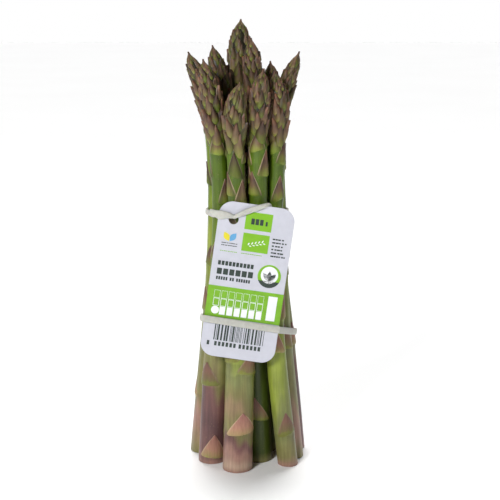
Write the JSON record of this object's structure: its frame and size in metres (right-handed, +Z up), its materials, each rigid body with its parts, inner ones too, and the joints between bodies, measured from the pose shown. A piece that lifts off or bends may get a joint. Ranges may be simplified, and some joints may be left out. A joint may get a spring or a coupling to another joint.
{
  "type": "bundle of green asparagus",
  "caption": "Bundle of green asparagus spears standing on their cut ends, tied with two pale rubber bands and carrying a blank card tag held by its punched hole.",
  "frame": {"origin": "on the ground, under the middle of the bundle's overall box", "axes": "+Z up along the spears towards their tips; -Y is the front, where the tag hangs; +X is to the right as seen from the front"},
  "size_m": [0.0622, 0.0588, 0.23],
  "materials": {
    "spear": null,
    "band": "pale cream elastic rubber, matt",
    "tag": "white coated card, satin"
  },
  "bodies": {
    "root": {"spear_front": "spear", "spear_front_left": "spear", "spear_left": "spear", "spear_back_left": "spear", "spear_back": "spear", "spear_back_inner": "spear", "spear_back_right": "spear", "spear_right": "spear", "spear_front_right": "spear", "spear_front_inner": "spear", "spear_middle_right": "spear", "spear_middle_left": "spear", "lower_band": "band", "upper_band": "band", "tag": "tag"}
  },
  "joints": []
}
